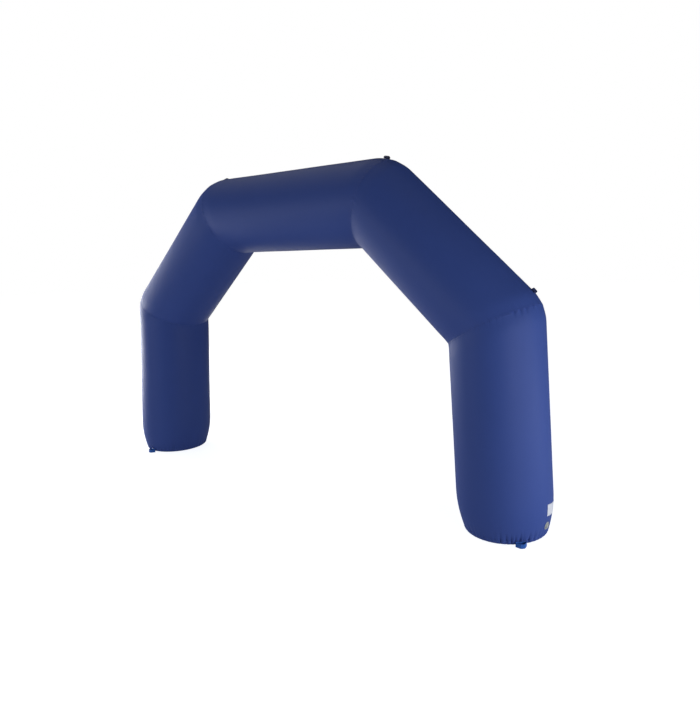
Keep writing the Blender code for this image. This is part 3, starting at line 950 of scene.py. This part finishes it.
def ring_path(skin, ring, lift):
    """A closed path over one ring of a skin, lifted a little out of the cloth."""
    count = len(ANGLES)
    points = [skin.data.vertices[ring * count + j] for j in range(count)]
    return [p.co + p.normal * lift for p in points], [p.normal for p in points], True


def sewn(name, paths, thread, slot, seed, **sizes):
    """Lays thread along paths as one piece."""
    piece = grown(name, path_mesh(name, paths), STITCHES, thread, Seed=seed, **sizes)
    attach(piece, "root")
    print(name, len(piece.data.polygons), "faces")
    return piece


# %% Thread along the seams
THREAD_LIFT = 0.0002


def rings_of(skin):
    return len(skin.data.vertices) // len(ANGLES)


mitre_paths, base_paths = [], []
for k, name in enumerate(TUBES):
    last_ring = rings_of(skins[name]) - 1
    for ring in STITCH_RINGS:
        (base_paths if k == 0 else mitre_paths).append(ring_path(skins[name], ring, THREAD_LIFT))
        far_paths = base_paths if k == len(TUBES) - 1 else mitre_paths
        far_paths.append(ring_path(skins[name], last_ring - ring, THREAD_LIFT))
for panel in panels:
    base_paths.append(ring_path(panel, PANEL_STITCH_RING, THREAD_LIFT))
sewn("mitre_thread", mitre_paths, THREAD, "cloth", 1)
sewn("base_thread", base_paths, THREAD, "cloth", 2)

# %% [markdown]
# ## Webbing loops
# A loop is a strip of webbing folded back on itself: a wide sewn root, two sides that lean in and a narrow
# tip. A curve with a bevel would twist at the corners, so the band is worked out: an outline with round
# corners, and a section that is a flat rectangle with soft edges. The strip's length is measured for its UV map.
# A guy loop's root is sewn down flat, so rays find the skin below it and the root is lowered to lie on it.

# %% The loops' sizes and places
StrapLoop = namedtuple("StrapLoop", "root_width tip_width reach strap_width corner_radius")
GUY_LOOP = StrapLoop(0.060, 0.038, 0.027, 0.042, 0.010)
PEG_LOOP = StrapLoop(0.104, 0.050, 0.056, 0.040, 0.010)
STRAP_THICKNESS = 0.003
LOOP_STANDOFF = 0.0012
GUY_LOOP_ROWS = (
    ("guy_loop_shoulder_left", 1, 2, 0.132, 10.0),
    ("guy_loop_crest_left", 2, 3, 0.072, 0.0),
    ("guy_loop_crest_right", 3, 2, 0.076, 0.0),
    ("guy_loop_shoulder_right", 4, 3, 0.132, 10.0),
)
PEG_LOOP_ROWS = (
    ("peg_loop_left_front", 0, 2.0), ("peg_loop_left_back", 0, 182.0),
    ("peg_loop_right_front", 5, 45.0), ("peg_loop_right_back", 5, 225.0),
)
Place = namedtuple("Place", "point out along")


SOLID_DRAW, SOLID_CORNER_DRAW = 0.006, 0.022


def solid_radius(seam, angle, distance):
    """The solid's radius near a mitre, where a loop stands on a ridge."""
    fall = max(0.0, 1.0 - distance / seam.reach) ** 2
    return TUBE_RADIUS - (SOLID_DRAW + SOLID_CORNER_DRAW * max(0.0, math.cos(angle)) ** 2) * fall


def guy_place(corner, towards, setback, turn):
    """Where a guy loop stands, with its root round the tube."""
    seam, line, angle = SEAMS[corner], middle_line(), math.radians(turn)
    along = unit(line[towards] - line[corner])

    def on_tube(distance):
        rightward = along if along @ seam.normal > 0 else -along
        spoke = -np.cross(DEPTH, rightward) * math.cos(angle) + DEPTH * math.sin(angle)
        start = -(spoke * solid_radius(seam, angle, 0.0)) @ seam.normal / (along @ seam.normal)
        return seam.point + spoke * solid_radius(seam, angle, distance) + along * (start + distance)

    half = GUY_LOOP.strap_width / 2
    near, middle, far = (on_tube(setback + shift) for shift in (-half, 0.0, half))
    slope = unit(far - near)
    rightward = slope if slope @ seam.normal > 0 else -slope
    out = -np.cross(DEPTH, rightward) * math.cos(angle) + DEPTH * math.sin(angle)
    lift = max(float((middle - (near + far) / 2) @ out), 0.0) + LOOP_STANDOFF
    return Place((near + far) / 2 + out * lift, out, np.cross(out, slope))


def peg_place(corner, bearing):
    """Where a peg loop stands: on the ground, with its root along the base seam."""
    turn = math.radians(bearing)
    out = np.array((math.sin(turn), -math.cos(turn), 0.0))
    middle = np.array((SEAMS[corner].point[0], 0.0, LOOP_STANDOFF + PEG_LOOP.strap_width / 2))
    rim = TUBE_RADIUS - BASE_FORM["draw"] + LOOP_STANDOFF
    return Place(middle + out * rim, out, np.cross(out, UP))


# %% Seating a guy loop on its skin
RAY_RISE = 0.05


def tree_of(skin):
    """A tree that answers where a ray meets a skin."""
    mesh = skin.data
    return BVHTree.FromPolygons([v.co for v in mesh.vertices], [p.vertices for p in mesh.polygons])


def drops(tree, points, out):
    """How far each point has to go down to lie just off the skin."""
    down = Vector(-out)
    reached = [tree.ray_cast(Vector(point + out * RAY_RISE), down)[3] for point in points]
    return np.array(reached) - RAY_RISE - LOOP_STANDOFF


def seated(place, tree):
    """The same place, lowered until its middle lies on the skin."""
    return place._replace(point=place.point - place.out * drops(tree, [place.point], place.out)[0])


# %% Folding the webbing
CORNER_STEPS, STRAIGHT_STEPS, ACROSS_STEPS = 8, 10, 9
EDGE_SOFTNESS = 0.0012
STRAP_WANDER, WANDER_ACROSS = 0.0007, 25.0


def loop_outline(loop, inset):
    """The band seen along its open way: the root at the bottom, the tip at the top, with round corners."""
    turn_radius = loop.corner_radius
    root, tip = loop.root_width / 2 - turn_radius, loop.tip_width / 2 - turn_radius
    top = loop.reach - turn_radius
    middles = ((-root, turn_radius), (root, turn_radius), (tip, top), (-tip, top))
    bearings = []
    for (x, y), (next_x, next_y) in zip(middles, middles[1:] + middles[:1]):
        bearings.append(math.atan2(next_y - y, next_x - x) - math.pi / 2)
    corners = []
    for k, (x, y) in enumerate(middles):
        start = bearings[k - 1]
        turn = (bearings[k] - start) % math.tau
        reach = turn_radius - inset
        for step in range(CORNER_STEPS + 1):
            at = start + turn * step / CORNER_STEPS
            corners.append((x + reach * math.cos(at), y + reach * math.sin(at)))
    outline = []
    for k, (x, y) in enumerate(corners):
        outline.append((x, y))
        if k % (CORNER_STEPS + 1) == CORNER_STEPS:
            next_x, next_y = corners[(k + 1) % len(corners)]
            for step in range(1, STRAIGHT_STEPS):
                share = step / STRAIGHT_STEPS
                outline.append((x + (next_x - x) * share, y + (next_y - y) * share))
    return np.array(outline)


def strap_section(width, thickness):
    """Places across the strap and through it, round its soft-edged section."""
    half, soft, slant = width / 2, EDGE_SOFTNESS, 0.3 * EDGE_SOFTNESS
    edge = [(half - slant, slant), (half, soft), (half, thickness - soft), (half - slant, thickness - slant)]
    section = [(u, 0.0) for u in np.linspace(-half + soft, half - soft, ACROSS_STEPS)] + edge
    section += [(u, thickness) for u in np.linspace(half - soft, -half + soft, ACROSS_STEPS)]
    return section + [(-u, t) for u, t in reversed(edge)]


def strap_loop(name, place, loop, material, seed, tree=None):
    """One loop as a closed band, with a UV map in metres across and along the strip."""
    across = np.cross(place.out, place.along)
    section = strap_section(loop.strap_width, STRAP_THICKNESS)
    outer = loop_outline(loop, 0.0)
    around = np.append(0.0, np.cumsum(np.linalg.norm(np.roll(outer, -1, axis=0) - outer, axis=1)))
    wander = random.Random(seed)
    sway = [wander.uniform(0, math.tau) for _ in range(3)]
    columns, count = [], len(outer)
    for u, t in section:
        edge = loop_outline(loop, t)
        shift = np.zeros(count)
        for turns, phase in enumerate(sway, start=2):
            swing = turns * math.tau * around[:-1] / around[-1] + phase + WANDER_ACROSS * u
            shift += np.sin(swing) / len(sway)
        free = np.clip(edge[:, 1] / loop.reach, 0.0, 1.0)
        points = place.point + edge[:, :1] * place.along + edge[:, 1:] * place.out + u * across
        if tree:
            sink = drops(tree, points - edge[:, 1:] * place.out, place.out)
            sink = sink * (1.0 - outer[:, 1] / loop.reach)
            points = points - sink[:, None] * place.out
        columns.append(points + (shift * free * STRAP_WANDER)[:, None] * across)
    points = np.array(columns)
    rows = len(section)
    quads, places = [], []
    reach = np.array([u for u, _ in section] + [section[0][0]])
    for i in range(rows):
        for j in range(count):
            next_i, next_j = (i + 1) % rows, (j + 1) % count
            quads.append((i * count + j, i * count + next_j, next_i * count + next_j, next_i * count + j))
            places += [reach[i], around[j], reach[i], around[j + 1]]
            places += [reach[i + 1], around[j + 1], reach[i + 1], around[j]]
    mesh = bpy.data.meshes.new(name + "_strap")
    mesh.from_pydata(points.reshape(-1, 3).tolist(), [], quads)
    mesh.uv_layers.new(name="UVMap").data.foreach_set("uv", np.array(places, dtype=np.float32))
    if signed_volume(mesh) < 0:
        mesh.flip_normals()
    piece = link(name + "_strap", mesh, material)
    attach(piece, "root")
    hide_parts(name)
    return float(around[-1])


# %% Eight loops and the thread at their roots
ROOT_BOX = (0.34, 0.36)
ROOT_THREAD_LIFT = 0.0003
ROOT_PATH_STEPS = 8


def root_paths(place, loop, tree=None):
    """A sewn box with a cross, on the root's inner face."""
    across = np.cross(place.out, place.along)
    a, b = loop.root_width * ROOT_BOX[0], loop.strap_width * ROOT_BOX[1]
    base = place.point + place.out * (STRAP_THICKNESS + ROOT_THREAD_LIFT)
    corners = [base + place.along * x + across * y for x, y in ((-a, -b), (a, -b), (a, b), (-a, b))]
    lines = [(corners[k], corners[(k + 1) % 4]) for k in range(4)]
    lines += [(corners[0], corners[2]), (corners[1], corners[3])]
    paths = []
    for start, end in lines:
        points = start + np.linspace(0, 1, ROOT_PATH_STEPS)[:, None] * (end - start)
        if tree:
            sink = drops(tree, points - base + place.point, place.out)
            points = points - sink[:, None] * place.out
        paths.append((list(points), [place.out] * ROOT_PATH_STEPS, False))
    return paths


thread_paths = []
for seed, (name, corner, towards, setback, turn) in enumerate(GUY_LOOP_ROWS):
    tree = tree_of(skins[TUBES[min(corner, towards)]])
    rough = guy_place(corner, towards, setback, turn)
    place = seated(rough, tree)
    print(name, "lowered by", round(1000 * float((rough.point - place.point) @ place.out), 2), "mm")
    strip = strap_loop(name, place, GUY_LOOP, GUY_WEBBING, seed, tree)
    thread_paths += root_paths(place, GUY_LOOP, tree)
for seed, (name, corner, bearing) in enumerate(PEG_LOOP_ROWS, start=len(GUY_LOOP_ROWS)):
    place = peg_place(corner, bearing)
    peg_strip = strap_loop(name, place, PEG_LOOP, PEG_WEBBING, seed)
    thread_paths += root_paths(place, PEG_LOOP)
sewn("loop_thread", thread_paths, THREAD, "webbing", 3, **{"Stitch Pitch": 0.0045, "Stitch Length": 0.0032})
print("strip lengths", round(strip, 3), round(peg_strip, 3))

# %% [markdown]
# ## The blank patch
# A small white rectangle of cloth is sewn low on the right leg, round its side. It must lie on the skin as it
# really is, waves and all. A shrinkwrap would do, but its corners slide, so rays are cast at the skin from
# outside, one for each point of the patch. Its hem is a double layer, so the rim is thicker.

# %% Points on the right leg's skin
LEG = SEAMS[5]
LEG_CLIMB = unit(middle_line()[4] - middle_line()[5])
leg_tree = tree_of(skins["leg_right"])
RAY_START = 0.8


def on_leg(bearing, height):
    """Where the skin is, at a bearing from the front and a height, and the way out of it."""
    turn = math.radians(bearing)
    spoke = Vector((math.sin(turn), -math.cos(turn), 0.0))
    middle = Vector(LEG.point + LEG_CLIMB * ((height - BASE_SEAM_HEIGHT) / LEG_CLIMB[2]))
    hit, normal, _, _ = leg_tree.ray_cast(middle + spoke * RAY_START, -spoke)
    return np.array(hit), np.array(normal if normal.dot(spoke) > 0 else -normal)


# %% Laying the patch
PATCH_BEARINGS = (84.0, 117.0)
PATCH_BOTTOM, PATCH_TOP, PATCH_FALL = 0.225, 0.335, 0.035
PATCH_COLUMNS, PATCH_ROWS = 66, 28
PATCH_THICKNESS, PATCH_STANDOFF, PATCH_HEM = 0.0010, 0.0004, 0.0004
HEM_SHARE_ACROSS, HEM_SHARE_UP = 0.040, 0.10
PUFF, PUFF_WAVES_ACROSS, PUFF_PHASE, PUFF_WAVES_UP = 0.0005, 9.0, 2.0, 5.0
RIM_DROP = 0.0004


def patch_place(across, up):
    """A point under the patch, from its shares across and up."""
    bearing = PATCH_BEARINGS[0] + (PATCH_BEARINGS[1] - PATCH_BEARINGS[0]) * across
    return on_leg(bearing, PATCH_BOTTOM + (PATCH_TOP - PATCH_BOTTOM) * up - PATCH_FALL * across)


def patch_lift(across, up):
    """How far the patch's face stands off the cloth: doubled at the hem, and a little puffed inside it."""
    edge_across = min(across / HEM_SHARE_ACROSS, (1 - across) / HEM_SHARE_ACROSS)
    edge = min(edge_across, up / HEM_SHARE_UP, (1 - up) / HEM_SHARE_UP)
    hem = PATCH_HEM if edge <= 1.0 else 0.0
    rim = -RIM_DROP if edge <= 0.0 else 0.0
    wave = math.sin(PUFF_WAVES_ACROSS * across + PUFF_PHASE) * math.sin(PUFF_WAVES_UP * up)
    return PATCH_STANDOFF + PATCH_THICKNESS + hem + rim + (PUFF * wave if edge > 1.0 else 0.0)


def lay_patch():
    """The patch as a closed thin piece: a face, a back and a rim between them."""
    across_at = np.unique(np.r_[np.linspace(0, 1, PATCH_COLUMNS), HEM_SHARE_ACROSS, 1 - HEM_SHARE_ACROSS])
    up_at = np.unique(np.r_[np.linspace(0, 1, PATCH_ROWS), HEM_SHARE_UP, 1 - HEM_SHARE_UP])
    wide, tall = len(across_at), len(up_at)
    face, back = [], []
    for up in up_at:
        for across in across_at:
            point, out = patch_place(across, up)
            face.append(point + out * patch_lift(across, up))
            back.append(point + out * PATCH_STANDOFF)
    grid = np.array(face).reshape(tall, wide, 3)
    flat_wide = float(np.linalg.norm(np.diff(grid[tall // 2], axis=0), axis=1).sum())
    flat_tall = float(np.linalg.norm(np.diff(grid[:, wide // 2], axis=0), axis=1).sum())
    quads, shift = [], wide * tall
    for i in range(tall - 1):
        for j in range(wide - 1):
            k = i * wide + j
            quad = (k, k + 1, k + wide + 1, k + wide)
            quads += [quad, tuple(reversed([q + shift for q in quad]))]
    rim = list(range(wide)) + [i * wide + wide - 1 for i in range(1, tall)]
    rim += [(tall - 1) * wide + j for j in range(wide - 2, -1, -1)]
    rim += [i * wide for i in range(tall - 2, 0, -1)]
    for k, after in zip(rim, rim[1:] + rim[:1]):
        quads.append((after, k, k + shift, after + shift))
    mesh = bpy.data.meshes.new("patch_sheet")
    mesh.from_pydata([tuple(p) for p in face + back], [], quads)
    places = np.array([(a * flat_wide, u * flat_tall) for u in up_at for a in across_at] * 2)
    corners = np.array([k for quad in quads for k in quad])
    mesh.uv_layers.new(name="UVMap").data.foreach_set("uv", places[corners].astype(np.float32).ravel())
    if signed_volume(mesh) < 0:
        mesh.flip_normals()
    return mesh, flat_wide, flat_tall


patch_mesh, flat_wide, flat_tall = lay_patch()
patch = link("patch_sheet", patch_mesh, PATCH_CLOTH)
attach(patch, "root")
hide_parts("blank_patch")
print("patch", round(flat_wide, 3), "by", round(flat_tall, 3), "m when flat")

# %% Thread round the patch
PATCH_STITCH_ACROSS, PATCH_STITCH_UP = 0.024, 0.060
PATCH_PATH_STEPS = 40


def patch_border():
    """A closed path a little inside the patch's rim."""
    a, u = PATCH_STITCH_ACROSS, PATCH_STITCH_UP
    corners = ((a, u), (1 - a, u), (1 - a, 1 - u), (a, 1 - u))
    points, ways = [], []
    for (x, y), (next_x, next_y) in zip(corners, corners[1:] + corners[:1]):
        for step in range(PATCH_PATH_STEPS):
            share = step / PATCH_PATH_STEPS
            across, up = x + (next_x - x) * share, y + (next_y - y) * share
            point, out = patch_place(across, up)
            points.append(point + out * (patch_lift(across, up) + THREAD_LIFT))
            ways.append(out)
    return points, ways, True


patch_stitches = {"Stitch Pitch": 0.0042, "Stitch Length": 0.0030}
sewn("patch_thread", [patch_border()], WHITE_THREAD, "patch", 4, **patch_stitches)

# %% [markdown]
# ## The air valve
# The valve is turned plastic: a flange welded to the cloth, a collar, and a plug shut inside it. A shape that
# is the same all round is a profile spun about an axis, so rings are worked out from rows of radius and height.
# The dark gap between collar and plug is its own thin near-black ring, which paints the shade that falls in
# that gap. Ribs for grip repeat round the collar, so they are instances on a circle of points, made real at
# the end.

# %% Turning the valve's parts
VALVE_BEARING, VALVE_HEIGHT, VALVE_STANDOFF = 86.5, 0.13, 0.0015
VALVE_SIDES, VALVE_SHARP_DEGREES = 72, 50
VALVE_RISE, VALVE_TURN = 0.03, 4.0
BODY_PROFILE = (
    (0.0362, 0.0), (0.0370, 0.0006), (0.0370, 0.0018), (0.0364, 0.0026), (0.0350, 0.0030), (0.0335, 0.0031),
    (0.0330, 0.0037), (0.0322, 0.0037), (0.0317, 0.0032), (0.0300, 0.0034), (0.0295, 0.0040), (0.0287, 0.0040),
    (0.0282, 0.0035), (0.0262, 0.0040), (0.0252, 0.0052), (0.0247, 0.0070), (0.0245, 0.0104), (0.0241, 0.0117),
    (0.0232, 0.0124), (0.0222, 0.0124), (0.0215, 0.0118), (0.0211, 0.0105), (0.0210, 0.0050),
)
# The near-black ring between collar and plug is painted shade: it stands for the shadow in that gap.
SHADE_RING_PROFILE = ((0.0212, 0.0048), (0.0208, 0.0068), (0.0200, 0.0072), (0.0193, 0.0066), (0.0190, 0.0046))
PLUG_PROFILE = (
    (0.0194, 0.0045), (0.0194, 0.0082), (0.0189, 0.0089), (0.0180, 0.0091), (0.0172, 0.0088), (0.0166, 0.0080),
    (0.0150, 0.0076), (0.0128, 0.0076), (0.0120, 0.0082), (0.0115, 0.0096), (0.0108, 0.0103), (0.0096, 0.0104),
    (0.0086, 0.0100), (0.0060, 0.0094), (0.0030, 0.0092),
)


def valve_place():
    """The valve's middle on the skin, with the way out of it and the way up it."""
    point, _ = on_leg(VALVE_BEARING, VALVE_HEIGHT)
    above, below = (on_leg(VALVE_BEARING, VALVE_HEIGHT + rise)[0] for rise in (VALVE_RISE, -VALVE_RISE))
    before, after = (on_leg(VALVE_BEARING + turn, VALVE_HEIGHT)[0] for turn in (-VALVE_TURN, VALVE_TURN))
    up_cloth = unit(above - below)
    out = unit(np.cross(unit(after - before), up_cloth))
    return Place(point, out, up_cloth)


def turned(name, place, profile, sides, material, closed_below=True):
    """Spins a profile about the way out of the cloth, and closes its last ring, and the first if asked."""
    across = np.cross(place.out, place.along)
    angles = np.linspace(0, math.tau, sides, endpoint=False)
    circle = np.cos(angles)[:, None] * place.along + np.sin(angles)[:, None] * across
    rings = [place.point + place.out * (VALVE_STANDOFF + h) + circle * r for r, h in profile]
    quads = []
    for i in range(len(profile) - 1):
        for j in range(sides):
            k, after = i * sides + j, i * sides + (j + 1) % sides
            quads.append((k, after, after + sides, k + sides))
    if closed_below:
        quads.append(tuple(range(sides)))
    quads.append(tuple(range((len(profile) - 1) * sides, len(profile) * sides)))
    mesh = bpy.data.meshes.new(name)
    mesh.from_pydata(np.array(rings).reshape(-1, 3).tolist(), [], quads)
    work = bmesh.new()
    work.from_mesh(mesh)
    bmesh.ops.recalc_face_normals(work, faces=work.faces)
    work.to_mesh(mesh)
    work.free()
    return link(name, mesh, material)


valve_at = valve_place()
valve_parts = [
    turned("valve_body", valve_at, BODY_PROFILE, VALVE_SIDES, VALVE_GREY),
    # Painted shade: this near-black ring darkens the gap between collar and plug, where only shadow lies.
    turned("valve_shade_ring", valve_at, SHADE_RING_PROFILE, VALVE_SIDES, VALVE_PAINTED_SHADE),
    turned("valve_plug", valve_at, PLUG_PROFILE, VALVE_SIDES, VALVE_GREY),
]
for part in valve_parts:
    part.data.set_sharp_from_angle(angle=math.radians(VALVE_SHARP_DEGREES))
    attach(part, "root")
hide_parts("air_valve")
print("valve", sum(len(part.data.polygons) for part in valve_parts), "faces")

# %% Ribs round the collar
RIB_COUNT, RIB_RADIUS = 30, 0.0009
RIB_CIRCLE, RIB_BOTTOM, RIB_TOP = 0.0246, 0.0056, 0.0108


def rib_tree():
    tree = bpy.data.node_groups.new("grip_ribs", "GeometryNodeTree")
    socket(tree, "Geometry", "NodeSocketGeometry")
    socket(tree, "Rib Radius", "NodeSocketFloat", RIB_RADIUS)
    socket(tree, "Rib Length", "NodeSocketFloat", 0.005)
    socket(tree, "Material", "NodeSocketMaterial")
    socket(tree, "Geometry", "NodeSocketGeometry", out=True)
    nodes, links = tree.nodes, tree.links
    given, put = nodes.new("NodeGroupInput"), nodes.new("NodeGroupOutput")
    out = out_attribute(tree)
    upright = nodes.new("FunctionNodeAlignRotationToVector")
    upright.axis = "Z"
    links.new(out, upright.inputs["Vector"])
    rod = nodes.new("GeometryNodeMeshUVSphere")
    rod.inputs["Segments"].default_value = 8
    rod.inputs["Rings"].default_value = 6
    rod.inputs["Radius"].default_value = 0.5
    size = nodes.new("ShaderNodeCombineXYZ")
    width = maths(tree, "MULTIPLY", given.outputs["Rib Radius"], 2.0)
    links.new(width, size.inputs["X"])
    links.new(width, size.inputs["Y"])
    links.new(given.outputs["Rib Length"], size.inputs["Z"])
    lay = nodes.new("GeometryNodeInstanceOnPoints")
    links.new(given.outputs["Geometry"], lay.inputs["Points"])
    links.new(rod.outputs["Mesh"], lay.inputs["Instance"])
    links.new(upright.outputs[0], lay.inputs["Rotation"])
    links.new(size.outputs[0], lay.inputs["Scale"])
    end_tree(tree, given, put, lay)
    return tree


def rib_circle():
    """One point for each rib, halfway up the collar."""
    across = np.cross(valve_at.out, valve_at.along)
    middle = valve_at.point + valve_at.out * (VALVE_STANDOFF + (RIB_BOTTOM + RIB_TOP) / 2)
    angles = np.linspace(0, math.tau, RIB_COUNT, endpoint=False)
    points = [middle + (valve_at.along * math.cos(a) + across * math.sin(a)) * RIB_CIRCLE for a in angles]
    mesh = bpy.data.meshes.new("rib_points")
    mesh.from_pydata([tuple(p) for p in points], [], [])
    out = mesh.attributes.new("out", "FLOAT_VECTOR", "POINT")
    out.data.foreach_set("vector", np.tile(valve_at.out, RIB_COUNT).astype(np.float32))
    return mesh


rib_sizes = {"Rib Radius": RIB_RADIUS, "Rib Length": RIB_TOP - RIB_BOTTOM}
ribs = grown("valve_ribs", rib_circle(), rib_tree(), VALVE_GREY, **rib_sizes)
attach(ribs, "root")
print("ribs", len(ribs.data.polygons), "faces")

# %% [markdown]
# ## Closing
# The visual model has to stay in the solids' box.

# %% Closing
bpy.context.view_layer.update()
